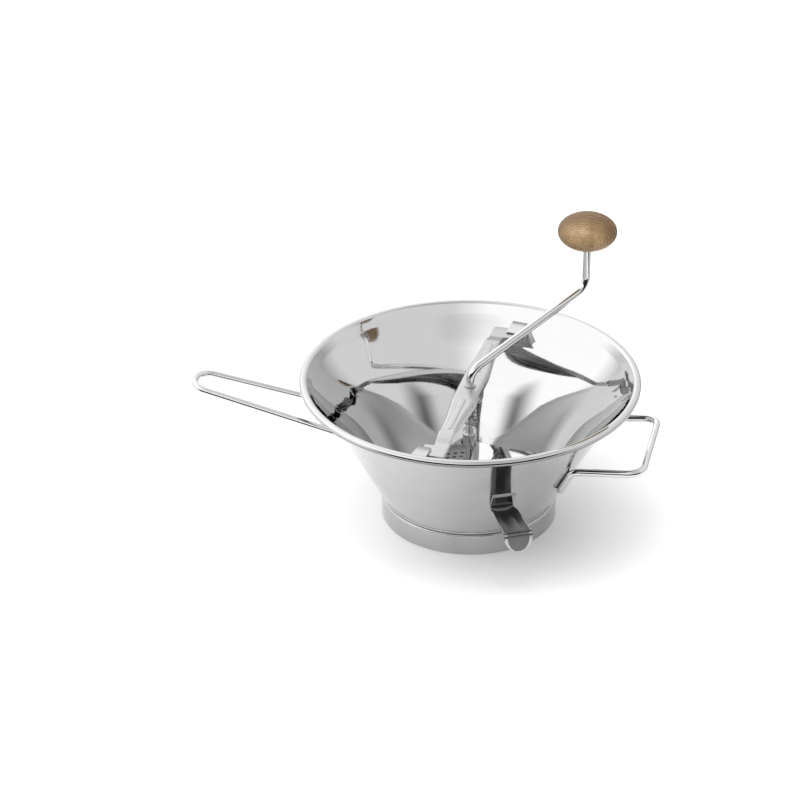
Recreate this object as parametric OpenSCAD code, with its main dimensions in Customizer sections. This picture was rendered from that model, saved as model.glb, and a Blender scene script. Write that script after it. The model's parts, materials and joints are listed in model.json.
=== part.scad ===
// Hand-cranked food mill: a flared steel bowl on a short base band, with a lift-out strainer disc,
// a cross bar that locks under two lugs, and a cranked rod that turns a pressing blade over the disc.
// Millimetres, +Z up. The origin is the centre of the base band's bottom edge. +X points to the
// short helper handle and -X to the long handle.

/* [Bowl] */
// Diameter over the rolled rim
rim_d = 250; // [244:1:256]
// Height of the rim's top above the floor
bowl_h = 112.4; // [111:0.2:114]
// Thickness of the bowl's sheet
sheet = 0.8; // [0.7:0.1:1]
// Outer diameter of the base band
base_d = 129.4; // [128.6:0.2:130.2]
// Height of the base band
base_h = 15.5; // [14.5:0.5:16]
// Height of the rolled rim
bead_h = 5; // [4.6:0.2:5.4]
// Width of the rolled rim
bead_w = 6.2; // [5.8:0.2:6.6]

/* [Strainer disc] */
// Thickness of the disc's sheet
disc_t = 1; // [0.8:0.1:1.1]
// Diameter of one strainer hole
hole_d = 3; // [2:0.5:3.5]
// Distance between neighbouring strainer holes
hole_pitch = 5.4; // [5:0.2:7]

/* [Wire handles] */
// Thickness of the handle wire
wire_d = 5.5; // [5:0.5:6]
// Reach of the long handle's loop from the bowl's axis
long_reach = 208; // [195:1:220]
// Reach of the helper handle from the bowl's axis
helper_reach = 134.5; // [130:0.5:140]
// Half the width of the helper handle at its outer side
helper_half_w = 42.3; // [40:0.1:44]
// Height at which both handles leave the bowl's wall
handle_z = 64; // [62:0.5:66]

/* [Pot hook] */
// Direction of the pot hook around the bowl
hook_dir = -62.5; // [-75:0.5:-55]
// Width of the pot hook at its rounded end
hook_w = 20.6; // [18:0.2:22]
// Distance from the bowl's axis to the hook's bent end
hook_reach = 122; // [118:1:128]

/* [Cross bar] */
// Direction of the cross bar around the bowl
bar_dir = 87.4; // [85:0.1:95]
// Width of the cross bar's arms
bar_w = 13.2; // [12:0.2:14]
// Width of the cross bar at its middle
bar_mid_w = 17.6; // [16:0.2:19]
// Height of the cross bar's top face at its middle
bar_z = 105.5; // [105:0.1:106]
// Thickness of the cross bar's sheet
bar_t = 1.2; // [1:0.1:1.4]

/* [Crank and blade] */
// Direction in which the crank points
crank_dir = 50; // [0:5:355]
// Distance from the bowl's axis to the crank's upright end
crank_reach = 110; // [100:1:115]
// Thickness of the crank rod
rod_d = 6; // [5.6:0.2:6]
// Direction of the blade's pressing edge
blade_dir = 150; // [0:5:355]
// How far the blade rises from its pressing edge to its leading edge
blade_rise = 40; // [30:1:42]
// Diameter of the wooden knob
knob_d = 44; // [40:1:48]
// Height of the wooden knob
knob_h = 26; // [24:1:28]

/* [Hidden] */

fine = 96;                                   // facets of round parts in the preview
gap = 0.02;                                  // between pieces that are pressed together
run = 0.06;                                  // radial clearance of a running fit
weld = 0.05;                                 // how deep a welded wire sinks into the wall

// Wall of the bowl: a cone that flares once more on the way up
ledge_z = base_h + 2 * sheet;                // top of the ledge that carries the disc
foot_r = base_d / 2 - 1.4;                   // middle of the sheet below the cone
cone_low = [64.1, 18.9];                     // middle of the sheet, [radius, height]
cone_mid = [93.6, 73];
cone_top = [rim_d / 2 - bead_w + 0.6, bowl_h - bead_h / 2];
flare_r = 300;                               // radius of the bend between the two slopes

// Cross bar
end_z = 102;                                 // top of the bar's end tongues
tongue_r = [86, 101];                        // from where to where a tongue is widened
tongue_turn = [-8.2, 3.1];                   // how far it spreads to each side, in degrees
flange_z = 99;                               // lower edge of the bar's flanges
bush_r = 3.6;

// Crank, counted from the floor
rod_tip_z = 15.5;
elbow_z = 117;
stem_foot_z = 151.6;
knob_z = 197.5;                              // middle of the knob
elbow_r = 12;
washer_z = 75.3;
collar_r = 5;
press_z = ledge_z + disc_t + 0.6;            // underside of the blade's pressing edge
blade_t = 1.2;
blade_span = 195;                            // how far round the shaft the blade goes, in degrees

steel = [0.80, 0.81, 0.82];
bright = [0.88, 0.89, 0.90];
satin = [0.68, 0.69, 0.70];
wood = [0.80, 0.62, 0.42];

// ---- helper functions ----

function unit(v) = v / norm(v);
function lerp(a, b, t) = a + (b - a) * t;
// Radius of the wall's outer face at height z, below the flare
function wall_slope() = (cone_mid.x - cone_low.x) / (cone_mid.y - cone_low.y);
function wall_r(z) = cone_low.x + (z - cone_low.y) * wall_slope() + sheet / 2 / cos(wall_angle());
function wall_angle() = atan(wall_slope());
// Radius of the upper wall's middle at height z
function flare_slope() = (cone_top.x - cone_mid.x) / (cone_top.y - cone_mid.y);
function flare_at(z) = cone_mid.x + (z - cone_mid.y) * flare_slope();

// Points of the round bend at corner b of the path a, b, c
function bend_2d(a, b, c, r, steps) =
    let (u = unit(b - a), w = unit(c - b),
         turn = acos(u * w), back = r * tan(turn / 2),
         side = sign(u.x * w.y - u.y * w.x),
         centre = b - u * back + side * r * [-u.y, u.x],
         from = b - u * back - centre)
    [for (i = [0:steps]) let (q = side * turn * i / steps)
        centre + [from.x * cos(q) - from.y * sin(q), from.x * sin(q) + from.y * cos(q)]];

// A path moved sideways by d, with mitred corners
function side_step(p, d) =
    [for (i = [0:len(p) - 1])
        let (u = unit(p[min(i + 1, len(p) - 1)] - p[min(i, len(p) - 2)]),
             w = unit(p[max(i, 1)] - p[max(i - 1, 0)]),
             n = unit([-u.y - w.y, u.x + w.x]))
        p[i] + n * d / sqrt((1 + u * w) / 2)];
// A sheet of thickness t along a path
function sheet_outline(p, t) =
    let (a = side_step(p, t / 2), b = side_step(p, -t / 2), n = len(p))
    concat(a, [for (i = [n - 1:-1:0]) b[i]]);

// ---- helper modules ----

// Puts its children at p with their +Z along direction d
module aim(p, d) {
    translate(p) rotate([0, acos(d.z / norm(d)), atan2(d.y, d.x)]) children();
}

// Round rod along straight stretches between points, with a bend of radius bends[i] at points[i].
// The bends are a hair thicker, so that the stretches end inside them.
module bent_rod(points, bends, d) {
    last = len(points) - 1;
    back = [for (i = [0:last])
        i == 0 || i == last ? 0
        : bends[i] * tan(acos(unit(points[i] - points[i - 1]) * unit(points[i + 1] - points[i])) / 2)];
    lap = [for (i = [0:last]) i == 0 || i == last ? 0 : 0.3];    // each stretch runs into its bends
    for (i = [0:last - 1]) {
        u = unit(points[i + 1] - points[i]);
        aim(points[i] + u * (back[i] - lap[i]), u)
            cylinder(h = norm(points[i + 1] - points[i]) - back[i] - back[i + 1] + lap[i] + lap[i + 1],
                     d = d, $fn = 48);
    }
    for (i = [1:last - 1]) {
        u = unit(points[i] - points[i - 1]);
        w = unit(points[i + 1] - points[i]);
        n = unit(cross(u, w));
        from = points[i] - u * back[i];
        x = unit(cross(u, n));
        c = from - x * bends[i];
        multmatrix([[x.x, u.x, n.x, c.x], [x.y, u.y, n.y, c.y], [x.z, u.z, n.z, c.z], [0, 0, 0, 1]])
            rotate_extrude(angle = acos(u * w), $fn = fine)
                translate([bends[i], 0]) circle(d = d + 0.04, $fn = 48);
    }
}

module ring(r_in, r_out, z_low, z_high) {
    translate([0, 0, z_low]) difference() {
        cylinder(h = z_high - z_low, r = r_out, $fn = fine);
        translate([0, 0, -1]) cylinder(h = z_high - z_low + 2, r = r_in, $fn = fine);
    }
}

// Sheet between two grids of points, each with rows + 1 points a line
module sheet_grid(under, over, rows) {
    n = rows + 1;
    top = len(under);
    steps = top / n - 1;
    faces = concat(
        [for (i = [0:steps - 1]) for (k = [0:rows - 1]) let (p = i * n + k) [p, p + n, p + n + 1, p + 1]],
        [for (i = [0:steps - 1]) for (k = [0:rows - 1]) let (p = top + i * n + k)
            [p, p + 1, p + n + 1, p + n]],
        [for (i = [0:steps - 1]) for (e = [0, rows]) let (p = i * n + e)
            e == 0 ? [p, top + p, top + p + n, p + n] : [p, p + n, top + p + n, top + p]],
        [for (k = [0:rows - 1]) for (e = [0, steps]) let (p = e * n + k)
            e == 0 ? [p, p + 1, top + p + 1, top + p] : [p, top + p, top + p + 1, p + 1]]);
    polyhedron(concat(under, over), faces, convexity = 6);
}

// Flat oblong, centred
module oblong(length, width) {
    square([length - width, width], center = true);
    for (s = [-1, 1]) translate([s * (length - width) / 2, 0]) circle(d = width, $fn = 32);
}

// ---- bowl ----

module bowl() {
    wall = concat([[57.4, ledge_z - sheet / 2], [foot_r, ledge_z - sheet / 2], [foot_r, cone_low.y - 0.9],
                   cone_low],
                  bend_2d(cone_low, cone_mid, cone_top, flare_r, 8), [cone_top]);
    color(bright) {
        rotate_extrude($fn = 180) polygon(sheet_outline(wall, sheet));
        rolled_rim();
    }
}

// The rim is curled outwards round a hollow, and its edge stays a little open underneath
module rolled_rim() {
    flat = bead_w - bead_h;
    module tube(d) {
        for (x = [-flat, 0]) translate([x, 0]) circle(d = d, $fn = 48);
        translate([-flat / 2, 0]) square([flat, d], center = true);
    }
    rotate_extrude($fn = 180) translate([rim_d / 2 - bead_h / 2, bowl_h - bead_h / 2]) difference() {
        tube(bead_h);
        tube(bead_h - 2 * sheet);
        translate([-flat / 2, -bead_h / 2]) square([1, 2 * sheet], center = true);
    }
}

// Upright band with a turned-in top, welded under the bowl's ledge, and a folded hem to stand on
module base_band() {
    r = base_d / 2 - sheet / 2;
    top = ledge_z - sheet - sheet / 2;
    hem = [[r - 1.2, 2.4], [r - 1.2, sheet / 2], [r, sheet / 2]];
    path = concat(hem, bend_2d([r, 0], [r, top], [58, top], 1.2, 6), [[58, top]]);
    color(bright) rotate_extrude($fn = 180) polygon(sheet_outline(path, sheet));
}

// ---- handles ----

// Wire handle from one end to the other, pointing to +X: a loop, and two feet welded down the wall
module wire_handle(rise, root_z, half_root, foot_h, outer, outer_bends) {
    off = (wire_d / 2 - weld) / cos(wall_angle());
    weld_z = root_z - foot_h;
    root = [sqrt(pow(wall_r(root_z) + off, 2) - half_root * half_root), half_root, root_z];
    foot = [root.x, root.y, 0] * (wall_r(weld_z) + off) / (wall_r(root_z) + off) + [0, 0, weld_z];
    loop = [for (p = outer) [p.x, p.y, root_z + (p.x - root.x) * rise]];
    flip = [1, -1, 1];
    points = concat([[foot.x, -foot.y, foot.z], [root.x, -root.y, root.z]], loop, [root, foot]);
    bent_rod(points, concat([0, 8], outer_bends, [8, 0]), wire_d);
}

module long_handle() {
    tip = 12.3;
    color(bright) rotate([0, 0, 180])
        wire_handle(0.2, handle_z - 0.3, 20.3, 8, [[long_reach, -tip], [long_reach, tip]], [12, 12]);
}

module helper_handle() {
    w = helper_half_w;
    color(bright)
        wire_handle(0.09, handle_z + 1.7, 41, 20, [[helper_reach, -w], [helper_reach, w]], [11, 11]);
}

// Points between a and b
function between(a, b, n) = [for (i = [1:n - 1]) lerp(a, b, i / n)];

// Pressed from one sheet: a flange on the wall, a trough-shaped arm that flattens towards its end, and
// a rounded tongue bent down
module pot_hook() {
    t = 1.2;
    hug = (gap + 0.03 + t / 2) / cos(wall_angle());      // from the wall's face to the sheet's middle
    top_z = 62.5;
    root_z = 46.4;
    arm_end_z = 50.4;
    tongue_l = 13.4;
    lean = 10;
    flange_w = 17.6;
    trough_h = 3.8;
    floor_share = 0.43;                                  // of the width
    end_r = hook_w / 2;
    top = [wall_r(top_z) + hug, top_z];
    root = [wall_r(root_z) + hug, root_z];
    corner = [hook_reach, arm_end_z];
    down = [sin(lean), -cos(lean)];
    root_bend = bend_2d(top, root, corner, 3.2, 6);
    end_bend = bend_2d(root, corner, corner + down * tongue_l, 2.2, 6);
    arm = between(root_bend[6], end_bend[0], 9);
    tongue = [for (q = [0:6:84]) corner + down * (tongue_l - end_r + end_r * sin(q))];
    path = concat([top], between(top, root_bend[0], 3), root_bend, arm, end_bend, tongue);
    // Half the width, the height of the trough's sides and the share of the wall's roundness
    shape = concat(
        [for (i = [0:2]) [flange_w / 2, 0, 1]],
        [for (i = [0:6]) [flange_w / 2, trough_h * 0.6 * i / 6, 1]],
        [for (i = [1:8]) [lerp(flange_w / 2, end_r, i / 9), trough_h * min(1, 0.6 + i / 4) * (9 - i) / 8,
                          1 - i / 9]],
        [for (i = [0:6]) [end_r, 0, 0]],
        [for (q = [0:6:84]) [end_r * cos(q), 0, 0]]);
    upper = side_step(path, t / 2);
    lower = side_step(path, -t / 2);
    share = [1, 0.82, 0.62, floor_share, 0, -floor_share, -0.62, -0.82, -1];
    side = function (line) [for (i = [0:len(path) - 1]) for (c = share)
        let (n = unit(upper[i] - lower[i]), w = shape[i][0] * c,
             p = line[i] + n * shape[i][1] * max(0, (abs(c) - floor_share) / (1 - floor_share)))
        [p.x - shape[i][2] * (p.x - sqrt(p.x * p.x - w * w)), w, p.y]];
    color(bright) rotate([0, 0, hook_dir]) sheet_grid(side(lower), side(upper), len(share) - 1);
}

// Two identical lugs under the rim. Each is a shelf over a bar's end, a stop and a flange on the wall.
module lock_lugs() {
    t = 1.2;
    shelf = end_z + 0.3;
    shelf_r = 93;
    turn = [-9.6, -3.6];
    skin = sheet / 2 / cos(atan(flare_slope())) + gap;
    inner = function (z) flare_at(z) - skin;
    span = turn[1] - turn[0];
    for (half = [0, 180]) color(bright) rotate([0, 0, bar_dir + half + turn[0]]) {
        rotate_extrude(angle = span, $fn = 180)
            polygon([[shelf_r, shelf], [inner(shelf), shelf], [inner(shelf + t), shelf + t],
                     [shelf_r, shelf + t]]);
        rotate_extrude(angle = span, $fn = 180)
            polygon([[inner(shelf - 9), shelf - 9], [inner(shelf), shelf], [inner(shelf) - t, shelf],
                     [inner(shelf - 9) - t, shelf - 9]]);
        rotate_extrude(angle = 0.7, $fn = 180)
            polygon([[shelf_r, shelf - 4], [inner(shelf - 4), shelf - 4], [inner(shelf), shelf],
                     [shelf_r, shelf]]);
    }
}

// ---- strainer ----

module strainer_disc() {
    r = 62.4;
    z = ledge_z + 0.2;
    first = 9.6;
    rings = floor((r - 6 - first) / hole_pitch);
    color(steel) {
        translate([0, 0, z]) linear_extrude(height = disc_t) difference() {
            circle(r = r, $fn = fine);
            circle(r = 4 + gap, $fn = 48);
            for (k = [0:rings]) {
                count = floor(2 * PI * (first + k * hole_pitch) / hole_pitch);
                for (i = [0:count - 1]) rotate((i + (k % 2) / 2) * 360 / count)
                    translate([first + k * hole_pitch, 0]) circle(d = hole_d, $fn = 16);
            }
        }
        ring(r - 0.8, r, z, z + 3);
    }
}

// Eyelet in the middle of the disc: the tip of the shaft turns in it
module disc_eyelet() {
    z = ledge_z + 0.2;
    color(steel) {
        ring(rod_d / 2 + run, 4, z - 0.6, z + disc_t + 1.6);
        ring(4 - gap, 6, z - 0.6, z - gap);
        ring(4 - gap, 4.7, z + disc_t + gap, z + disc_t + 1);
    }
}

// ---- cross bar, across the bowl along its own X axis ----

// Half the outline, from one end to the middle: a wide middle and slightly narrowing arms
function bar_outline(inset) =
    let (quarter = [[tongue_r[1] - 1, bar_w / 2 - 1.1], [tongue_r[0], bar_w / 2 - 1.1], [47, bar_w / 2],
                    [23, bar_mid_w / 2]],
         half = concat(quarter, [for (i = [3:-1:0]) [-quarter[i].x, quarter[i].y]]))
    concat([for (p = half) [p.x * (inset > 0 ? 1.2 : 1), p.y - inset]],
           [for (i = [7:-1:0]) [half[i].x * (inset > 0 ? 1.2 : 1), inset - half[i].y]]);

module cross_bar() {
    slope = [72, tongue_r[0]];                           // where the arms run down to the tongues
    under = bar_z - bar_t;
    crown = [[-tongue_r[1], end_z], [-slope[1], end_z], [-slope[0], bar_z],
             [slope[0], bar_z], [slope[1], end_z], [tongue_r[1], end_z]];
    belly = [for (i = [5:-1:0]) [crown[i].x, crown[i].y - bar_t]];
    flanges = [[slope[0], under], [62, flange_z + 2.6], [50, flange_z], [7, flange_z], [5, 94], [-5, 94],
               [-7, flange_z], [-50, flange_z], [-62, flange_z + 2.6], [-slope[0], under]];
    module across(shape) {
        rotate([90, 0, 0]) linear_extrude(height = 40, center = true) polygon(shape);
    }
    color(satin) rotate([0, 0, bar_dir]) {
        difference() {
            intersection() {
                translate([0, 0, 80]) linear_extrude(height = 40) polygon(bar_outline(0));
                across(concat(crown, [belly[0], belly[1]], flanges, [belly[4], belly[5]]));
            }
            intersection() {
                translate([0, 0, 80]) linear_extrude(height = 40) polygon(bar_outline(bar_t));
                across([[-slope[0], under], [slope[0], under], [slope[0], 85], [-slope[0], 85]]);
            }
            translate([0, 0, bar_z - 5]) cylinder(h = 10, r = bush_r + gap, $fn = 48);
        }
        for (half = [0, 180]) rotate([0, 0, half + tongue_turn[0]])
            rotate_extrude(angle = tongue_turn[1] - tongue_turn[0], $fn = 180)
                translate([tongue_r[0], end_z - bar_t]) square([tongue_r[1] - tongue_r[0], bar_t]);
        for (s = [-1, 1]) translate([s * 44, 0, bar_z - gap]) linear_extrude(height = 0.5)
            oblong(46, 5);
    }
}

module shaft_bush() {
    color(bright) {
        ring(rod_d / 2 + run, bush_r, bar_z - 7, bar_z + 1.4);
        ring(bush_r - gap, 4.4, bar_z + gap, bar_z + 1.4);
    }
}

// Compression spring that presses the blade down on the disc and the bar up against its lugs
module blade_spring() {
    wire = 1.2;
    r = 4.5;
    turns = 7.5;
    low = washer_z + 1.2 + wire / 2 + gap;
    high = bar_z - bar_t - wire / 2 - gap;
    sides = 8;
    steps = 18 * turns;
    pitch_angle = atan((high - low) / turns / (2 * PI * r));
    points = [for (i = [0:steps]) let (a = 360 * turns * i / steps, z = lerp(low, high, i / steps))
        for (k = [0:sides - 1]) let (q = 360 * k / sides, u = wire / 2 * cos(q), v = wire / 2 * sin(q))
            [(r + u) * cos(a) + v * sin(pitch_angle) * sin(a),
             (r + u) * sin(a) - v * sin(pitch_angle) * cos(a), z + v * cos(pitch_angle)]];
    walls = [for (i = [0:steps - 1]) for (k = [0:sides - 1]) let (n = (k + 1) % sides)
        [i * sides + k, (i + 1) * sides + k, (i + 1) * sides + n, i * sides + n]];
    caps = [[for (k = [0:sides - 1]) k], [for (k = [sides - 1:-1:0]) steps * sides + k]];
    color(steel) polyhedron(points, concat(walls, caps), convexity = 10);
}

// ---- crank set ----

module thrust_washer() {
    color(steel) ring(rod_d / 2 + run, 5.5, washer_z, washer_z + 1.2);
}

pin_d = 2;
pin_zs = [27, 61];                           // heights of the pins through the two collars

module crank_rod() {
    path = [[0, 0, rod_tip_z], [0, 0, elbow_z], [crank_reach, 0, stem_foot_z], [crank_reach, 0, knob_z]];
    color(bright) rotate([0, 0, crank_dir]) difference() {
        bent_rod(path, [0, elbow_r, elbow_r, 0], rod_d);
        for (z = concat(pin_zs, [washer_z - 0.1 - pin_d / 2])) translate([0, 0, z])
            rotate([90, 0, 0]) cylinder(h = 20, d = pin_d + 2 * gap, center = true, $fn = 24);
    }
}

module cross_pin(z, length) {
    rotate([0, 0, crank_dir]) translate([0, 0, z]) rotate([90, 0, 0])
        cylinder(h = length, d = pin_d, center = true, $fn = 24);
}

module thrust_pin() {
    color(steel) cross_pin(washer_z - 0.1 - pin_d / 2, 10.4);
}

module collar(z) {
    color(bright) difference() {
        ring(rod_d / 2 + gap, collar_r, z - 5, z + 5);
        rotate([0, 0, crank_dir]) translate([0, 0, z]) rotate([90, 0, 0])
            cylinder(h = 20, d = pin_d + 2 * gap, center = true, $fn = 24);
    }
}

module upper_collar() { collar(pin_zs[1]); }
module lower_collar() { collar(pin_zs[0]); }

module collar_pins() {
    color(steel) for (z = pin_zs) cross_pin(z, 2 * collar_r);
}

// Sheet that winds up round the shaft from the pressing edge, which scrapes along the disc, to the
// leading edge. Its outer edge stays clear of the wall.
function blade_z(t) = press_z + blade_rise * pow(t, 1.25);
function blade_r(z) = wall_r(z) - sheet / cos(wall_angle()) - 1.6;

module pressing_blade() {
    steps = 48;
    rows = 6;
    inner = collar_r + 0.1;
    edge_r = 60.5;                                       // inside the disc's upright rim
    clear_t = 0.1;                                       // where the blade has risen over that rim
    widening = 60;
    corner_t = 0.8;                                      // from here the leading corner is rounded off
    corner_cut = 14;
    dish_h = 5;
    side = function (lift)
        [for (i = [0:steps])
            let (t = i / steps, a = blade_dir + blade_span * t, z = blade_z(t),
                 cut = corner_cut * pow(max(0, t - corner_t) / (1 - corner_t), 3),
                 outer = min(edge_r + widening * max(0, t - clear_t), blade_r(z)) - cut)
            for (k = [0:rows]) let (r = lerp(inner, outer, k / rows), dish = dish_h * t * pow(k / rows, 2))
                [r * cos(a), r * sin(a), z + dish + lift]];
    color(bright) sheet_grid(side(0), side(blade_t), rows);
}

// ---- knob, on the crank's upright end ----

module at_stem() { rotate([0, 0, crank_dir]) translate([crank_reach, 0, 0]) children(); }

ferrule_r = 4.5;
knob_low = knob_z - knob_h / 2;

module knob() {
    flat_r = 6.2;
    start = acos(flat_r / (knob_d / 2));
    profile = concat([[0, knob_h / 2]],
        [for (i = [1:40]) let (q = 90 - i * (90 + start) / 40) [knob_d / 2 * cos(q), knob_h / 2 * sin(q)]],
        [[0, -knob_h / 2 * sin(start)]]);
    color(wood) at_stem() difference() {
        translate([0, 0, knob_z]) rotate_extrude($fn = fine) polygon(profile);
        translate([0, 0, knob_low - 1]) cylinder(h = 17.5, r = ferrule_r + gap, $fn = 48);
    }
}

module knob_ferrule() {
    flat_z = knob_z - knob_h / 2 * sin(acos(6.2 / (knob_d / 2)));
    color(bright) at_stem() {
        ring(rod_d / 2 + run, ferrule_r, flat_z - 0.8, knob_low + 11);
        ring(ferrule_r - gap, 6, flat_z - 0.8, flat_z - gap);
    }
}

module knob_ring() {
    color(steel) at_stem() ring(rod_d / 2 + gap, 4.3, knob_low + 11.3, knob_low + 12.3);
}

bowl();
base_band();
long_handle();
helper_handle();
pot_hook();
lock_lugs();
strainer_disc();
disc_eyelet();
cross_bar();
shaft_bush();
blade_spring();
thrust_washer();
crank_rod();
thrust_pin();
upper_collar();
lower_collar();
collar_pins();
pressing_blade();
knob_ferrule();
knob_ring();
knob();
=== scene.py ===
"""Looks of the hand-cranked food mill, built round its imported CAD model.

Shapes are in millimetres in the frame of the CAD model and become metres when a mesh is made.
"""

import json
from math import acos, asin, atan, atan2, ceil, cos, degrees, pi, radians, sin, sqrt, tan

import bmesh
import bpy
from mathutils import Matrix, Vector


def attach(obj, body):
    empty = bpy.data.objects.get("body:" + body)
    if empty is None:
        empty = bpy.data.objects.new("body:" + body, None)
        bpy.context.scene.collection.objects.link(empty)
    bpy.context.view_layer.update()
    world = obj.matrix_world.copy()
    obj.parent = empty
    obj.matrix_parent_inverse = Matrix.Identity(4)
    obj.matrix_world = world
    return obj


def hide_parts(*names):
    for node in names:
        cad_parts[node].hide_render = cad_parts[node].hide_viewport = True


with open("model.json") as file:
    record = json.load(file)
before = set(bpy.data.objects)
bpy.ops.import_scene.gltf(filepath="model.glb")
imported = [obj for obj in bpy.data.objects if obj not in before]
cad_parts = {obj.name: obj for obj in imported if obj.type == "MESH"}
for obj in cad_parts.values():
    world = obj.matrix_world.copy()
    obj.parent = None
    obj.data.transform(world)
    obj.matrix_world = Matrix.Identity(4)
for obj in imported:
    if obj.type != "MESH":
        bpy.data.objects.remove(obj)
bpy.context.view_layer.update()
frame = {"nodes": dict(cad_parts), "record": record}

MM = 0.001
BODIES = {n: b for b, nodes in frame["record"]["behaviour"]["bodies"].items() for n in nodes}

# ---- sizes, in millimetres ----

SHEET = 0.8                  # thickness of bowl and base band
PLATE = 1.2                  # thickness of hook, lugs, bar and blade
SINK = 0.05                  # how deep a welded wire goes into the wall
RIM_R = 125
BEAD_R = 2.5                 # of the curled rim
BASE_R = 64.7
BASE_H = 15.5
LEDGE_Z = BASE_H + 2 * SHEET
CONE_LOW = (64.1, 18.9)      # middle of the bowl's sheet, radius and height
CONE_MID = (93.6, 73)
CONE_TOP = (119.4, 109.9)
WALL_SLOPE = (CONE_MID[0] - CONE_LOW[0]) / (CONE_MID[1] - CONE_LOW[1])
WALL_TILT = atan(WALL_SLOPE)
FLARE_SLOPE = (CONE_TOP[0] - CONE_MID[0]) / (CONE_TOP[1] - CONE_MID[1])
WIRE = 5.5                   # of the two handles
ROD = 6                      # of the crank
RUN_R = 3.06                 # of a bore that the rod turns in
FIT_R = 3.02                 # of a bore that is fixed on the rod
BAR_DIR = 87.4               # degrees round the bowl
HOOK_DIR = -62.5
BAR_Z = 105.5                # upper face of the bar's middle
END_Z = 102                  # upper face of the bar's ends
CRANK_DIR = 50
CRANK_REACH = 110            # from the bowl's axis to the knob's
WASHER_Z = 75.3              # lower face of the thrust washer
COLLAR_R = 5
COLLAR_H = 10
UPPER_COLLAR_Z = 56          # lower faces of the two collars
LOWER_COLLAR_Z = 22
KNOB_Z = 197.5               # middle of the knob
KNOB_D = 44
KNOB_H = 26


def lerp(a, b, t):
    return a + (b - a) * t


def smooth(t):
    t = min(1, max(0, t))
    return t * t * (3 - 2 * t)


def wall_r(z):
    """Radius of the lower wall's outer face."""
    return CONE_LOW[0] + (z - CONE_LOW[1]) * WALL_SLOPE + SHEET / 2 / cos(WALL_TILT)


def flare_at(z):
    """Radius of the upper wall's middle."""
    return CONE_MID[0] + (z - CONE_MID[1]) * FLARE_SLOPE


def turned(v, degrees_round):
    """A point turned about the bowl's axis."""
    a = radians(degrees_round)
    return (v[0] * cos(a) - v[1] * sin(a), v[0] * sin(a) + v[1] * cos(a), v[2])


# ---- paths ----

def rounded_path(points, bends, step=4):
    """A polyline with an arc of radius bends[i] at points[i], in any number of dimensions.
    step is in degrees."""
    out = [Vector(points[0])]
    for i in range(1, len(points) - 1):
        a, b, c = (Vector(p) for p in points[i - 1:i + 2])
        u, w = (b - a).normalized(), (c - b).normalized()
        turn = acos(max(-1, min(1, u.dot(w))))
        if turn < 1e-4 or bends[i] <= 0:
            out.append(b)
            continue
        back = bends[i] * tan(turn / 2)
        side = (w - u * u.dot(w)).normalized()
        centre = b - u * back + side * bends[i]
        steps = max(2, ceil(degrees(turn) / step))
        for k in range(steps + 1):
            q = turn * k / steps
            out.append(centre - side * bends[i] * cos(q) + u * bends[i] * sin(q))
    out.append(Vector(points[-1]))
    return out


def side_step(path, d):
    """A flat path moved d to its left, with mitred corners."""
    out = []
    for i, p in enumerate(path):
        w = (path[max(i, 1)] - path[max(i, 1) - 1]).normalized()
        u = (path[min(i + 1, len(path) - 1)] - path[min(i, len(path) - 2)]).normalized()
        n = Vector((-u.y - w.y, u.x + w.x)).normalized()
        out.append(p + n * d / sqrt((1 + u.dot(w)) / 2))
    return out


def finer(path, longest):
    """The same path with points no further apart than longest."""
    out = [path[0]]
    for a, b in zip(path, path[1:]):
        steps = max(1, ceil((b - a).length / longest))
        out += [a.lerp(b, k / steps) for k in range(1, steps + 1)]
    return out


def sheet_outline(path, t, nose=3):
    """Both faces of a sheet along a path, with rounded edges. Returns the outline and how many points
    belong to the left face."""
    left, right = side_step(path, t / 2), side_step(path, -t / 2)

    def edge(a, b, out):
        mid, half = (a + b) / 2, (b - a) / 2
        return [mid - half * cos(pi * k / (nose + 1)) + out * (t / 2) * sin(pi * k / (nose + 1))
                for k in range(1, nose + 1)]
    tip = (path[-1] - path[-2]).normalized()
    root = (path[0] - path[1]).normalized()
    return left + edge(left[-1], right[-1], tip) + right[::-1] + edge(right[0], left[0], root), len(left)


# ---- meshes ----

def piece(name, verts, faces, node, materials, kind=None, soft=35, bevel=0):
    """A mesh object that rides on its CAD node's body and replaces the node. kind holds one material
    number for each face. soft is the sharpest angle that is still shaded smooth, in degrees."""
    mesh = bpy.data.meshes.new(name)
    mesh.from_pydata([tuple(c * MM for c in v) for v in verts], [], faces)
    for m in materials:
        mesh.materials.append(m)
    if kind:
        mesh.polygons.foreach_set("material_index", kind)
    bm = bmesh.new()
    bm.from_mesh(mesh)
    bmesh.ops.remove_doubles(bm, verts=bm.verts, dist=2e-7)
    bmesh.ops.dissolve_degenerate(bm, edges=bm.edges, dist=1e-7)
    bmesh.ops.recalc_face_normals(bm, faces=bm.faces)
    for f in bm.faces:
        f.smooth = True
    for e in bm.edges:
        e.smooth = len(e.link_faces) != 2 or e.calc_face_angle(0) < radians(soft)
    bm.to_mesh(mesh)
    bm.free()
    obj = bpy.data.objects.new(name, mesh)
    bpy.context.scene.collection.objects.link(obj)
    if bevel:
        mod = obj.modifiers.new("edges", "BEVEL")
        mod.width = bevel * MM
        mod.segments = 3
        mod.limit_method = "ANGLE"
        mod.angle_limit = radians(soft)
        mod.harden_normals = True
    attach(obj, BODIES[node])
    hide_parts(node)
    return obj


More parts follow.
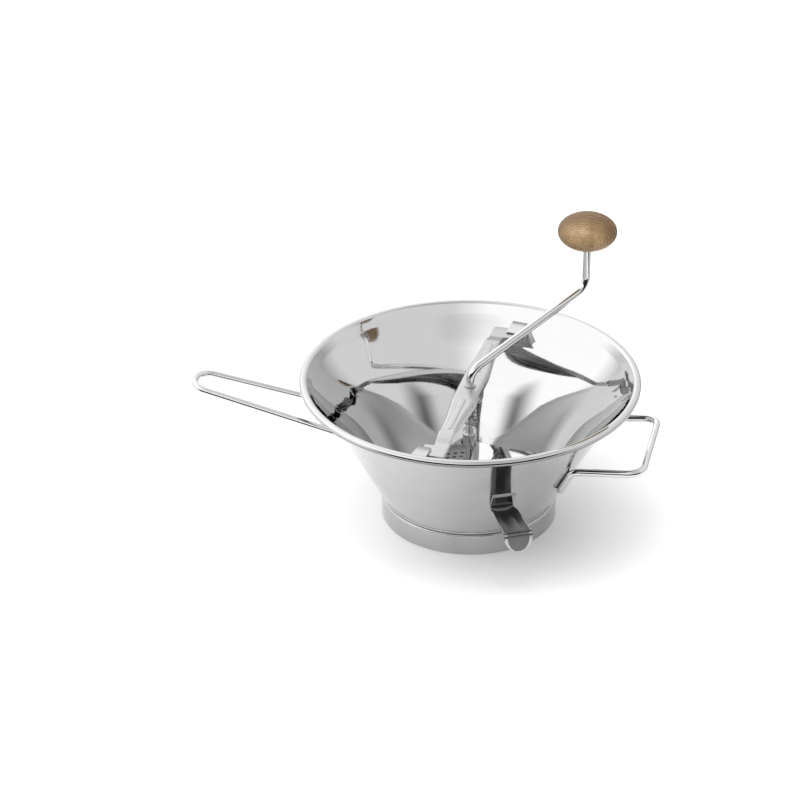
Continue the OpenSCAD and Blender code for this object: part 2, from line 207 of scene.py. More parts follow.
def lathe(outline, segments=256, about=(0, 0)):
    """A closed outline of (radius, height), turned about a vertical axis. Points on the axis are shared."""
    verts, rows = [], []
    for p in outline:
        r, z = p[0], p[1]
        if r < 1e-6:
            rows.append([len(verts)] * segments)
            verts.append((about[0], about[1], z))
        else:
            rows.append(list(range(len(verts), len(verts) + segments)))
            verts += [(about[0] + r * cos(2 * pi * k / segments),
                       about[1] + r * sin(2 * pi * k / segments), z) for k in range(segments)]
    faces, line = [], []
    n = len(outline)
    for i in range(n):
        a, b = rows[i], rows[(i + 1) % n]
        if a[0] == a[1] and b[0] == b[1]:
            continue
        for k in range(segments):
            m = (k + 1) % segments
            f = [a[k], a[m], b[m], b[k]]
            faces.append(tuple(dict.fromkeys(f)))
            line.append(i)
    return verts, faces, line


def tube(path, d, sides=32, tip=0.3, nose=4):
    """A round wire along a path of 3-D points, with rounded ends. tip is the ends' length in radii."""
    r = d / 2
    verts, faces = [], []
    tangents = []
    for i in range(len(path)):
        a, b = path[max(i - 1, 0)], path[min(i + 1, len(path) - 1)]
        tangents.append((b - a).normalized())
    up = tangents[0].orthogonal().normalized()
    rings = []
    for i, p in enumerate(path):
        t = tangents[i]
        up = (up - t * up.dot(t)).normalized()
        side = t.cross(up)
        shapes = [(0, 1)]
        if i == 0:
            shapes = [(-tip * r * (sin(q) - 1), cos(q)) for q in
                      (pi / 2 * k / nose * 0.94 for k in range(nose, -1, -1))]
        if i == len(path) - 1:
            shapes = [(tip * r * (sin(q) - 1), cos(q)) for q in
                      (pi / 2 * k / nose * 0.94 for k in range(nose + 1))]
        for along, share in shapes:
            rings.append(len(verts))
            verts += [p + t * along
                      + (up * cos(2 * pi * k / sides) + side * sin(2 * pi * k / sides)) * r * share
                      for k in range(sides)]
    for a, b in zip(rings, rings[1:]):
        faces += [(a + k, a + (k + 1) % sides, b + (k + 1) % sides, b + k) for k in range(sides)]
    faces.append(tuple(range(rings[0], rings[0] + sides)))
    faces.append(tuple(range(rings[-1], rings[-1] + sides)))
    return verts, faces


def sheet_grid(under, over):
    """A sheet between two grids of points: each is a list of lines of equal length."""
    lines, n = len(under), len(under[0])
    verts = [p for line in under for p in line] + [p for line in over for p in line]
    top = lines * n
    faces = []
    for i in range(lines - 1):
        for k in range(n - 1):
            p = i * n + k
            faces.append((p, p + n, p + n + 1, p + 1))
            faces.append((top + p, top + p + 1, top + p + n + 1, top + p + n))
        for p in (i * n, i * n + n - 1):
            faces.append((p, top + p, top + p + n, p + n))
    for k in range(n - 1):
        for p in (k, (lines - 1) * n + k):
            faces.append((p, p + 1, top + p + 1, top + p))
    return verts, faces


def swept(sections):
    """Closed sections of equal point counts, joined one to the next and capped."""
    n = len(sections[0])
    verts = [p for s in sections for p in s]
    faces = [(i * n + k, i * n + (k + 1) % n, (i + 1) * n + (k + 1) % n, (i + 1) * n + k)
             for i in range(len(sections) - 1) for k in range(n)]
    faces.append(tuple(range(n)))
    faces.append(tuple(range(len(verts) - n, len(verts))))
    return verts, faces


def together(*parts):
    """Several (verts, faces) as one."""
    verts, faces = [], []
    for v, f in parts:
        faces += [tuple(k + len(verts) for k in face) for face in f]
        verts += list(v)
    return verts, faces


# ---- materials ----

class Nodes:
    """A short way to write a material's nodes."""

    def __init__(self, name):
        self.material = bpy.data.materials.new(name)
        self.material.use_nodes = True
        self.tree = self.material.node_tree
        self.tree.nodes.clear()
        self.shader = self.add("ShaderNodeBsdfPrincipled")
        out = self.add("ShaderNodeOutputMaterial")
        self.link(self.shader.outputs["BSDF"], out.inputs["Surface"])
        self.place = self.add("ShaderNodeTexCoord").outputs["Object"]

    def add(self, kind, **values):
        node = self.tree.nodes.new(kind)
        for key, value in values.items():
            setattr(node, key, value)
        return node

    def link(self, a, b):
        self.tree.links.new(a, b)

    def set(self, **values):
        for key, value in values.items():
            self.shader.inputs[key.replace("_", " ")].default_value = value

    def stretch(self, scale, turn=(0, 0, 0), move=(0, 0, 0), source=None):
        """Object coordinates, moved, turned and scaled."""
        node = self.add("ShaderNodeMapping", vector_type="POINT")
        node.inputs["Location"].default_value = move
        node.inputs["Rotation"].default_value = [radians(a) for a in turn]
        node.inputs["Scale"].default_value = scale
        self.link(source or self.place, node.inputs["Vector"])
        return node.outputs["Vector"]

    def noise(self, at, scale=1, detail=3, rough=0.5, distort=0):
        node = self.add("ShaderNodeTexNoise")
        self.link(at, node.inputs["Vector"])
        values = {"Scale": scale, "Detail": detail, "Roughness": rough, "Distortion": distort}
        for key, value in values.items():
            node.inputs[key].default_value = value
        return node.outputs["Fac"]

    def spread(self, value, low, high, to_low=0, to_high=1):
        """Maps low..high to to_low..to_high."""
        node = self.add("ShaderNodeMapRange")
        self.link(value, node.inputs["Value"])
        for key, number in zip(("From Min", "From Max", "To Min", "To Max"), (low, high, to_low, to_high)):
            node.inputs[key].default_value = number
        return node.outputs["Result"]

    def math(self, operation, a, b):
        node = self.add("ShaderNodeMath", operation=operation)
        for socket, value in zip(node.inputs, (a, b)):
            if isinstance(value, (int, float)):
                socket.default_value = value
            else:
                self.link(value, socket)
        return node.outputs["Value"]

    def colours(self, value, stops):
        """A colour ramp of (position, colour)."""
        node = self.add("ShaderNodeValToRGB")
        ramp = node.color_ramp
        while len(ramp.elements) < len(stops):
            ramp.elements.new(0.5)
        for element, (position, colour) in zip(ramp.elements, stops):
            element.position = position
            element.color = (*colour, 1)
        self.link(value, node.inputs["Fac"])
        return node.outputs["Color"]

    def mix(self, fac, a, b, blend="MIX"):
        node = self.add("ShaderNodeMix", data_type="RGBA", blend_type=blend)
        for socket, value in ((node.inputs["Factor"], fac), (node.inputs[6], a), (node.inputs[7], b)):
            if isinstance(value, (int, float)):
                socket.default_value = value
            elif isinstance(value, tuple):
                socket.default_value = (*value, 1)
            else:
                self.link(value, socket)
        return node.outputs[2]

    def bump(self, height, distance, strength=1, under=None):
        """A bump of up to distance metres."""
        node = self.add("ShaderNodeBump")
        node.inputs["Strength"].default_value = strength
        node.inputs["Distance"].default_value = distance
        self.link(height, node.inputs["Height"])
        if under:
            self.link(under, node.inputs["Normal"])
        return node.outputs["Normal"]

    def finish(self, colour, roughness, normal):
        self.link(colour, self.shader.inputs["Base Color"])
        self.link(roughness, self.shader.inputs["Roughness"])
        self.link(normal, self.shader.inputs["Normal"])
        return self.material


def steel(name, tone, rough, grain, turn=(0, 0, 0), depth=1.5e-6, wave=0.00012, smudge=0.05, radial=False):
    """Stainless steel: brush lines stretched by grain, a little waviness, smudges and fine scratches.
    tone is a pair of colours, rough a pair of roughnesses."""
    m = Nodes(name)
    m.set(Metallic=1.0)
    source = m.place
    if radial:                   # the brush lines run round the axis
        flat = m.add("ShaderNodeVectorMath", operation="MULTIPLY")
        flat.inputs[1].default_value = (1, 1, 0)
        m.link(source, flat.inputs[0])
        length = m.add("ShaderNodeVectorMath", operation="LENGTH")
        m.link(flat.outputs["Vector"], length.inputs[0])
        join = m.add("ShaderNodeCombineXYZ")
        m.link(length.outputs["Value"], join.inputs["Z"])
        source = join.outputs["Vector"]
    brush = m.noise(m.stretch(grain, turn, source=source), detail=5, rough=0.62)
    cloud = m.noise(m.stretch((26, 26, 26)), detail=4, rough=0.55, distort=0.4)
    fine = m.noise(m.stretch((420, 420, 420)), detail=2, rough=0.6)
    broad = m.noise(m.stretch((11, 11, 14), move=(0.3, 0.1, 0.2)), detail=1, rough=0.4)
    worn = m.spread(cloud, 0.42, 0.68)
    colour = m.mix(m.math("ADD", m.math("MULTIPLY", brush, 0.6), m.math("MULTIPLY", worn, 0.4)), *tone)
    roughness = m.math("ADD", m.spread(brush, 0.3, 0.7, *rough), m.math("MULTIPLY", worn, smudge))
    roughness = m.math("ADD", roughness, m.spread(fine, 0.35, 0.65, -0.012, 0.012))
    normal = m.bump(broad, wave)
    normal = m.bump(brush, depth, 1, normal)
    return m.finish(colour, roughness, normal)


def beech():
    """Turned and oiled beech. The growth rings run round an axis that leans out of the knob's front, so
    they show as arcs over its top and as end grain with pores below."""
    m = Nodes("knob_wood")
    m.set(IOR=1.40)
    m.shader.inputs["Coat Weight"].default_value = 0.05
    m.shader.inputs["Coat Roughness"].default_value = 0.32
    centre = [c * MM for c in turned((CRANK_REACH, 0, KNOB_Z), CRANK_DIR)]
    local = m.stretch((1, 1, 1), move=[-c for c in centre])
    axis = Vector((0.19, -0.80, 0.56)).normalized()
    side = Vector((0.978, 0.208, 0)).normalized()
    side = (side - axis * side.dot(axis)).normalized()
    turn = [degrees(a) for a in Matrix((side, axis.cross(side), axis)).to_euler()]
    grain = m.stretch((1, 1, 1), turn=turn, move=(0.0045, 0.0125, 0), source=local)
    warp = m.noise(m.stretch((55, 55, 20), source=grain), detail=3)
    bent = m.add("ShaderNodeVectorMath", operation="MULTIPLY_ADD")
    m.link(grain, bent.inputs[0])
    bent.inputs[1].default_value = (1, 1.15, 0)
    m.link(m.math("MULTIPLY", m.spread(warp, 0, 1, -1, 1), 0.0012), bent.inputs[2])
    length = m.add("ShaderNodeVectorMath", operation="LENGTH")
    m.link(bent.outputs["Vector"], length.inputs[0])
    spaced = m.math("ADD", m.math("MULTIPLY", length.outputs["Value"], 430), m.math("MULTIPLY", warp, 3.2))
    ring = m.math("FRACT", spaced, 0)
    late = m.math("POWER", ring, 1.6)
    # away from the ring axis the wood gets painted shade, which dims the knob's top, and its rings are bolder
    # than those round the axis
    outer = m.spread(length.outputs["Value"], 0.011, 0.025)
    bold = m.math("MULTIPLY", late, m.spread(outer, 0, 1, 0.2, 0.9))
    drift = m.noise(m.stretch((110, 110, 60), move=(0.7, 0.2, 0), source=grain), detail=3)
    streak = m.noise(m.stretch((1000, 1000, 60), source=grain), detail=3, rough=0.65)
    pores = m.noise(m.stretch((1300, 900, 260), move=(0.1, 0, 0), source=grain), detail=1)
    pore = m.spread(pores, 0.585, 0.66)
    base = m.colours(m.math("ADD", m.math("MULTIPLY", drift, 0.6), m.math("MULTIPLY", streak, 0.4)),
                     [(0.34, (0.24, 0.15, 0.068)), (0.50, (0.345, 0.23, 0.115)),
                      (0.66, (0.44, 0.315, 0.175))])
    # painted shade: the wood away from the ring axis, over the knob's top, is mixed towards a dark brown
    top_painted_shade = m.mix(m.math("MULTIPLY", outer, 0.75), base, (0.13, 0.068, 0.020))
    ringed = m.mix(bold, top_painted_shade, (0.055, 0.024, 0.007))
    flecked = m.mix(m.math("MULTIPLY", pore, 0.72), ringed, (0.11, 0.052, 0.02))
    roughness = m.math("ADD", m.spread(streak, 0.3, 0.7, 0.40, 0.54), m.math("MULTIPLY", pore, 0.2))
    height = m.math("SUBTRACT", m.math("MULTIPLY", streak, 0.35), pore)
    return m.finish(flecked, roughness, m.bump(height, 0.00012, 0.7))


ALONG_BAR = (0, 0, -BAR_DIR)
mirror = steel("mirror_steel", ((0.63, 0.63, 0.63), (0.57, 0.57, 0.57)), (0.02, 0.05), (3, 3, 700),
               depth=3e-7, wave=0.00008, smudge=0.03)
outside = steel("outer_steel", ((0.63, 0.63, 0.63), (0.49, 0.49, 0.49)), (0.05, 0.17), (4, 4, 800),
                depth=5e-6, wave=0.0004)
band = steel("band_steel", ((0.55, 0.55, 0.555), (0.38, 0.38, 0.385)), (0.08, 0.20), (4, 4, 900), depth=6e-6,
             wave=0.0005)
# painted shade under the curled rim: a dim steel on the curl's lower half
rim_painted_shade = steel("rim_painted_shade_steel", ((0.26, 0.26, 0.27), (0.16, 0.16, 0.17)), (0.12, 0.24), (30, 30, 700))
wire = steel("bright_wire", ((0.74, 0.74, 0.74), (0.66, 0.66, 0.66)), (0.02, 0.06), (40, 40, 40),
             depth=3e-7, wave=0.00003, smudge=0.03)
hook_steel = steel("hook_steel", ((0.50, 0.50, 0.505), (0.40, 0.40, 0.405)), (0.08, 0.18), (60, 60, 600),
                   wave=0.00006)
# painted shade inside the pot hook's trough and tongue: a dim, rough steel
trough_painted_shade_steel = steel("trough_painted_shade_steel", ((0.22, 0.22, 0.225), (0.15, 0.15, 0.155)), (0.28, 0.40), (60, 60, 600),
                     depth=6e-6, wave=0.00006, smudge=0.08)
stamped = steel("stamped_steel", ((0.62, 0.62, 0.62), (0.52, 0.52, 0.52)), (0.10, 0.20), (60, 60, 600),
                wave=0.00006)
satin = steel("satin_steel", ((0.58, 0.58, 0.575), (0.48, 0.48, 0.475)), (0.24, 0.32), (14, 900, 900),
              turn=ALONG_BAR, depth=6e-7, wave=0.00005)
disc_steel = steel("disc_steel", ((0.58, 0.58, 0.58), (0.48, 0.48, 0.48)), (0.20, 0.32), (0, 0, 1100),
                   wave=0.00006, radial=True)
spring_steel = steel("spring_steel", ((0.50, 0.50, 0.50), (0.38, 0.38, 0.38)), (0.16, 0.28), (300, 300, 300),
                     wave=0.00002)
knob_wood = beech()

# ---- bowl and base band ----


def bowl():
    """One sheet from the ledge to the curled rim. The inside and the rim are mirror bright, except the curl's
    lower half, which carries painted shade: a dim steel.
    """
    r = BEAD_R - SHEET / 2                       # of the curl, to the sheet's middle
    near, far = (RIM_R - 3.7, CONE_TOP[1]), (RIM_R - BEAD_R, CONE_TOP[1])
    bend_z = 105                                 # where the wall starts to turn outwards
    ledge_r, foot_r = 57.4, BASE_R - 1.4         # the ledge's inner edge and its bend into the cone
    rise, roll, facing_up = 8, 36, 16            # steps up to the curl, round it, and those that face up
    start = Vector((flare_at(bend_z), bend_z))
    out = Vector(near) - start
    q = degrees(atan2(out.y, out.x) + asin(r / out.length)) + 90
    wall = rounded_path([(ledge_r, LEDGE_Z - SHEET / 2), (foot_r, LEDGE_Z - SHEET / 2),
                         (foot_r, CONE_LOW[1] - 0.9), CONE_LOW, CONE_MID, start,
                         (near[0] + r * cos(radians(q)), near[1] + r * sin(radians(q)))],
                        [0, 0.55, 0.3, 2, 300, 24, 0], 3)
    curl = [Vector((near[0] + r * cos(radians(a)), near[1] + r * sin(radians(a))))
            for a in (lerp(q, 90, k / rise) for k in range(1, rise + 1))]
    curl += [Vector((far[0] + r * cos(radians(a)), far[1] + r * sin(radians(a))))
             for a in (lerp(90, -112, k / roll) for k in range(roll + 1))]
    wall = finer(wall, 6)
    outline, bright = sheet_outline(wall + curl, SHEET)
    verts, faces, line = lathe(outline, 288)
    shade_from = len(wall) + rise + facing_up          # from here on the curl faces down and carries painted shade
    piece("bowl_shell", verts, faces, "bowl", [mirror, outside, rim_painted_shade],
          [1 if i >= bright else 2 if i >= shade_from else 0 for i in line], soft=50)


def base_band():
    """An upright band with a hem folded in at its foot and a flange under the bowl's ledge."""
    r = BASE_R - SHEET / 2
    top = LEDGE_Z - 1.5 * SHEET
    hem, hem_h, hem_bend, top_bend, flange_r = 1.2, 2.4, 0.59, 1.2, 58
    path = rounded_path([(r - hem, hem_h), (r - hem, SHEET / 2), (r, SHEET / 2), (r, top), (flange_r, top)],
                        [0, hem_bend, hem_bend, top_bend, 0], 10)
    outline, _ = sheet_outline(finer(path, 4), SHEET)
    verts, faces, _ = lathe(outline, 256)
    piece("base_ring", verts, faces, "base_band", [band], soft=50)


# ---- wire handles ----

def wire_handle(name, node, turn, rise, root_z, half_root, foot_h, outer, bend):
    """A loop whose two feet lie on the wall below the root. outer holds the loop's far corners as (x, y),
    and rise is its slope."""
    root_bend = 8
    off = (WIRE / 2 - SINK) / cos(WALL_TILT)
    weld_z = root_z - foot_h
    root = Vector((sqrt((wall_r(root_z) + off) ** 2 - half_root ** 2), half_root, root_z))
    share = (wall_r(weld_z) + off) / (wall_r(root_z) + off)
    foot = Vector((root.x * share, root.y * share, weld_z))
    loop = [Vector((x, y, root_z + (x - root.x) * rise)) for x, y in outer]
    points = [Vector((foot.x, -foot.y, foot.z)), Vector((root.x, -root.y, root.z)), *loop, root, foot]
    path = rounded_path([turned(p, turn) for p in points], [0, root_bend, bend, bend, root_bend, 0], 3)
    piece(name, *tube(finer(path, 6), WIRE), node, [wire], soft=60)


# ---- pot hook ----

def pot_hook():
    """Flange on the wall, an arm pressed into a trough that flattens towards its end, and a tongue. Inside
    their edges, arm and tongue carry painted shade on their upper face: a dim, rough steel."""
    t = PLATE
    hug = (0.05 + t / 2) / cos(WALL_TILT)        # the flange stands a little off the wall
    top_z, root_z, arm_end_z, tongue_l, lean = 62.5, 46.4, 50.4, 13.4, radians(10)
    flange, end_r, trough, level = 17.6 / 2, 20.6 / 2, 3.8, 0.43  # half widths, depth, share that is flat
    reach, root_bend, tip_bend = 122, 3.2, 2.2
    flange_steps, steps = 8, 28
    top, root = Vector((wall_r(top_z) + hug, top_z)), Vector((wall_r(root_z) + hug, root_z))
    corner = Vector((reach, arm_end_z))
    down = Vector((sin(lean), -cos(lean)))
    bends = rounded_path([top, root, corner, corner + down * tongue_l], [0, root_bend, tip_bend, 0], 6)
    # where the two bends begin and end along the path
    cut = [i for i, p in enumerate(bends[:-1]) if (bends[i + 1] - p).length > 4]
    arm = range(cut[1], cut[1] + 2)
    path, shape = [], []

    def station(p, half, lift, hugging):
        path.append(p)
        shape.append((half, lift, hugging))
    for k in range(flange_steps):
        station(bends[0].lerp(bends[1], k / flange_steps), flange, 0, 1)
    first = list(range(1, arm[0] + 1))
    for k, i in enumerate(first):
        station(bends[i], flange, trough * 0.6 * smooth(k / (len(first) - 1)), 1)
    for k in range(1, steps):
        q = k / steps
        station(bends[arm[0]].lerp(bends[arm[1]], q), lerp(flange, end_r, q),
                trough * min(1, 0.6 + q * 9 / 4) * (1 - q), 1 - q)
    tongue = len(path)                           # the first station past the arm
    for i in range(arm[1], len(bends) - 1):
        station(bends[i], end_r, 0, 0)
    for a in range(0, 90, 3):
        station(corner + down * (tongue_l - end_r + end_r * sin(radians(a))), end_r * cos(radians(a)), 0, 0)
    across = [1 - 2 * k / steps for k in range(steps + 1)]
    upper, lower = side_step(path, t / 2), side_step(path, -t / 2)

    def face(line):
        rows = []
        for i, p in enumerate(line):
            half, lift, hugging = shape[i]
            n = (upper[i] - lower[i]).normalized()
            row = []
            for c in across:
                w = half * c
                up = max(0, (abs(c) - level) / (1 - level))
                q = p + n * lift * (0.55 * up + 0.45 * smooth(up))
                row.append(turned((q.x - hugging * (q.x - sqrt(q.x * q.x - w * w)), w, q.y), HOOK_DIR))
            rows.append(row)
        return rows
    verts, faces = sheet_grid(face(lower), face(upper))
    kind = []
    half = len(verts) // 2                       # the upper face's points come after the lower's
    for f in faces:
        i, k = divmod(f[0] - half, len(across))  # the station and the place across it
        edge = 3 if i >= tongue else 1
        # faces on the upper side, inside the edges, get painted shade
        dark = min(f) >= half and flange_steps <= i < len(path) - 4 and edge <= k < len(across) - 1 - edge
        kind.append(1 if dark else 0)
    piece("pot_hook_plate", verts, faces, "pot_hook", [hook_steel, trough_painted_shade_steel], kind, soft=50, bevel=0.3)


# ---- lock lugs under the rim ----

def lock_lugs():
    """Two shelves over the bar's ends, each with a flange on the wall and a stop at one side."""
    shelf = END_Z + 0.3                          # lower face of the shelf
    skin = SHEET / 2 / cos(atan(FLARE_SLOPE)) + 0.02
    flare_tilt = 0.61
    lean = PLATE / 2 / cos(flare_tilt)           # half the flange's thickness, measured level
    drop, shelf_r, bend = 9, 93, 1.6
    stop_r, stop_h, stop_t, stop_gap = shelf_r + 0.4, 4, 0.7, 1.3

    def inner(z):
        return flare_at(z) - skin
    low, high = -9.6, -3.6                       # degrees from the bar
    parts = []
    middle = shelf + PLATE / 2
    flange = rounded_path([(inner(shelf - drop) - lean, shelf - drop), (inner(middle) - lean, middle),
                           (shelf_r, middle)], [0, bend, 0], 8)
    outline, _ = sheet_outline(flange, PLATE, 2)
    stop = [(stop_r, shelf - stop_h), (inner(shelf - stop_h) - stop_gap, shelf - stop_h),
            (inner(shelf) - stop_gap, shelf + 0.1), (stop_r, shelf + 0.1)]
    for half in (0, 180):
        for shape, a, b in ((outline, low, high), (stop, low, low + stop_t)):
            steps = max(1, round(b - a))
            turns = [BAR_DIR + half + lerp(a, b, k / steps) for k in range(steps + 1)]
            parts.append(swept([[turned((x, 0, z), turn) for x, z in shape] for turn in turns]))
    verts, faces = together(*parts)
    piece("lock_lug_pair", verts, faces, "lock_lugs", [stamped], soft=40, bevel=0.25)


# ---- cross bar ----

MIDDLE_END, ARM_END, BAR_R = 23, 86, 101         # where the wide middle, the arms and the bar end
SLOPE_START, SLOPE_L = 72, 14                    # where the arms drop to the ends
ARM_HALF = 5.5                                   # half the width at the arms' ends


def between(s, stops):
    """The value at s in a list of (place, value), with straight stretches."""
    for (a, va), (b, vb) in zip(stops, stops[1:]):
        if s <= b:
            return lerp(va, vb, (s - a) / (b - a))
    return stops[-1][1]


def bar_half(s):
    """Half the bar's width at s along it."""
    wide = 8.8
    return between(abs(s), [(0, wide), (MIDDLE_END, wide), (47, 6.6), (ARM_END, ARM_HALF)])


def bar_top(s):
    """The upper face drops at each end, with soft bends."""
    share = min(1, max(0, (abs(s) - SLOPE_START) / SLOPE_L))
    return lerp(BAR_Z, END_Z, max(share, smooth(share)))


def bar_hem(s):
    """Lower edge of the flanges."""
    ear_z, hem_z = 94, 99
    if abs(s) > SLOPE_START:
        return bar_top(s) - PLATE
    return between(abs(s), [(0, ear_z), (5, ear_z), (7, hem_z), (50, hem_z), (62, 101.6),
                            (SLOPE_START, BAR_Z - PLATE)])


def bar_section(s, rho=None, spread=None):
    """The bar's cross-section at s. Past the arms, spread holds the tongue's two sides and rho its radius."""
    top, hem = bar_top(s), bar_hem(s)
    left = right = bar_half(s)
    if spread:
        right, left = spread
    r_out = min(2.2, max(0.35, 0.8 * (top - hem)))
    r_in = max(0.02, min(r_out - PLATE, top - PLATE - hem))
    wall = PLATE if top - hem > PLATE + 0.01 else 0.5
    points = []

    def fold(x, z, r, a, b, steps=6):
        for k in range(steps + 1):
            q = radians(lerp(a, b, k / steps))
            points.append((x + r * cos(q), z + r * sin(q)))
    points.append((-left, hem))
    fold(-left + r_out, top - r_out, r_out, 180, 90)
    for k in range(1, 12):
        points.append((lerp(-left + r_out, right - r_out, k / 12), top))
    fold(right - r_out, top - r_out, r_out, 90, 0)
    points.append((right, hem))
    points.append((right - wall, hem))
    fold(right - wall - r_in, top - PLATE - r_in, r_in, 0, 90)
    for k in range(1, 12):
        points.append((lerp(right - wall - r_in, -left + wall + r_in, k / 12), top - PLATE))
    fold(-left + wall + r_in, top - PLATE - r_in, r_in, 90, 180)
    points.append((-left + wall, hem))
    out = []
    for y, z in points:
        x = s if rho is None else (1 if s > 0 else -1) * sqrt(rho * rho - y * y)
        out.append(turned((x, y, z), BAR_DIR))
    return out


def bar_end(half):
    """Sections of one end, a tongue that widens to one side, from the arm outwards. half is -1 or 1."""
    step = 0.7                                   # how far the widening takes
    sides = sin(radians(8.2)), sin(radians(3.1))
    end = []
    for rho in (ARM_END, ARM_END + step, 88, 90, 92, 94, 96, 98, 99.4, 100.4, BAR_R):
        wide = smooth((rho - ARM_END + 0.4) / 1.1) if rho < ARM_END + step else 1
        trim = 0.5 * smooth(rho - BAR_R + 1) + 0.5 * smooth((rho - BAR_R + 2) / 2)
        out = lerp(ARM_HALF, rho * sides[0], wide) - trim
        other = max(ARM_HALF, rho * sides[1]) - trim
        end.append(bar_section(half * rho, rho, (out, other) if half < 0 else (other, out)))
    return end


def drill(obj, r, low, high):
    """Cuts an upright hole on the bowl's axis."""
    verts, faces, _ = lathe([(0, low), (r, low), (r, high), (0, high)], 64)
    mesh = bpy.data.meshes.new("cutter")
    mesh.from_pydata([tuple(c * MM for c in v) for v in verts], [], faces)
    cutter = bpy.data.objects.new("cutter", mesh)
    bpy.context.scene.collection.objects.link(cutter)
    bm = bmesh.new()
    bm.from_mesh(mesh)
    bmesh.ops.recalc_face_normals(bm, faces=bm.faces)
    bm.to_mesh(mesh)
    bm.free()
    mod = obj.modifiers.new("hole", "BOOLEAN")
    mod.object = cutter
    mod.solver = "EXACT"
    cut = bpy.data.meshes.new_from_object(obj.evaluated_get(bpy.context.evaluated_depsgraph_get()))
    obj.modifiers.clear()
    obj.data = cut
    bpy.data.objects.remove(cutter)


def cross_bar():
    marks = (4, 5, 5.5, 6, 6.5, 7, MIDDLE_END, 47, 50, 61, 62, 63, 71, 71.5, SLOPE_START, 72.5, 73,
             ARM_END - 1)                        # more sections where the shape bends
    cuts = sorted({*range(-84, 85, 2), *(half * s for half in (-1, 1) for s in marks)})
    sections = bar_end(-1)[::-1] + [bar_section(s) for s in cuts] + bar_end(1)
    bar = piece("cross_bar_sheet", *swept(sections), "cross_bar", [satin], soft=40)
    drill(bar, 3.62, BAR_Z - 4, BAR_Z + 4)       # for the bush


def bar_ribs():
    """Raised oblongs pressed into the arms."""
    middle, half_l, r, n = 44, 20.5, 2.5, 40
    parts = []
    for side in (-1, 1):
        rings = []
        for inset, z in ((0, -0.4), (0, 0.02), (0.25, 0.26), (0.7, 0.44), (1.3, 0.48)):
            rings.append([turned((side * middle + (1 if cos(a) > 0 else -1) * half_l + (r - inset) * cos(a),
                                  (r - inset) * sin(a), BAR_Z + z), BAR_DIR)
                          for a in (2 * pi * (k + 0.5) / n for k in range(n))])
        parts.append(swept(rings))
    piece("cross_bar_ribs", *together(*parts), "cross_bar", [satin], soft=60)


# ---- small turned parts ----

def ring_piece(name, node, outline, bends, material, about=(0, 0), segments=96):
    """A closed outline with rounded corners, turned about a vertical axis."""
    n = len(outline)
    out = []
    for i in range(n):
        corner = [outline[i - 1], outline[i], outline[(i + 1) % n]]
        out += rounded_path(corner, [0, bends, 0], 20)[1:-1]
    verts, faces, _ = lathe(out, segments, about)
    piece(name, verts, faces, node, [material], soft=40)


def ring(name, node, r_in, r_out, low, high, material, about=(0, 0), bend=0.22):
    ring_piece(name, node, [(r_in, low), (r_out, low), (r_out, high), (r_in, high)], bend, material, about)


def pins(name, node, heights, length, d=2.0):
    parts = []
    for z in heights:
        ends = [turned((0, half * length / 2, z), CRANK_DIR) for half in (-1, 1)]
        parts.append(tube(finer([Vector(p) for p in ends], 4), d, 20, 0.4))
    verts, faces = together(*parts)
    piece(name, verts, faces, node, [spring_steel], soft=60)


def shaft_bush():
    r, flange_r, flange_top = 3.6, 4.4, BAR_Z + 1.4
    ring_piece("shaft_bush_ring", "shaft_bush",
               [(RUN_R, BAR_Z - 7), (r, BAR_Z - 7), (r, BAR_Z + 0.02), (flange_r, BAR_Z + 0.02),
                (flange_r, flange_top), (RUN_R, flange_top)], 0.2, stamped)


def disc_eyelet():
    """Clamps the disc's middle, from z 17.3 to 18.3, between two flanges."""
    low, r, top = 16.7, 4, 19.9
    lower_r, upper_r = 6, 4.7
    ring_piece("eyelet_ring", "disc_eyelet",
               [(RUN_R, low), (lower_r, low), (lower_r, 17.28), (r, 17.28), (r, 18.32), (upper_r, 18.32),
                (upper_r, 19.3), (r, 19.3), (r, top), (RUN_R, top)], 0.15, satin)


# ---- crank and blade ----

def crank_rod():
    foot_z, elbow_z, stem_foot_z, elbow_r = 15.5, 117, 151.6, 12
    points = [turned(p, CRANK_DIR) for p in ((0, 0, foot_z), (0, 0, elbow_z), (CRANK_REACH, 0, stem_foot_z),
                                             (CRANK_REACH, 0, KNOB_Z))]
    path = rounded_path(points, [0, elbow_r, elbow_r, 0], 3)
    piece("crank_wire", *tube(finer(path, 6), ROD, 40), "crank_rod", [wire], soft=60)


def pressing_blade():
    """A sheet that winds up from the disc round the shaft, cut off round at its upper end."""
    press_z, rows, steps = LEDGE_Z + 1.6, 18, 144
    start, sweep, rise, dish_h = 150, 195, 40, 5
    edge_r, clear_t, widening = 60.5, 0.1, 60    # stays inside the disc's rim until it is past it
    corner_t, corner_cut = 0.8, 14
    inner = COLLAR_R + 0.1

    def side(lift):
        grid = []
        for i in range(steps + 1):
            t = i / steps
            a = radians(start + sweep * t)
            z = press_z + rise * t ** 1.25
            wall = wall_r(z) - SHEET / cos(WALL_TILT) - 1.6
            cut = corner_cut * (max(0, t - corner_t) / (1 - corner_t)) ** 3
            outer = min(edge_r + widening * max(0, t - clear_t), wall) - cut
            line = []
            for k in range(rows + 1):
                r = lerp(inner, outer, k / rows)
                line.append((r * cos(a), r * sin(a), z + dish_h * t * (k / rows) ** 2 + lift))
            grid.append(line)
        return grid
    verts, faces = sheet_grid(side(0), side(PLATE))
    piece("blade_sheet", verts, faces, "pressing_blade", [mirror], soft=50, bevel=0.3)


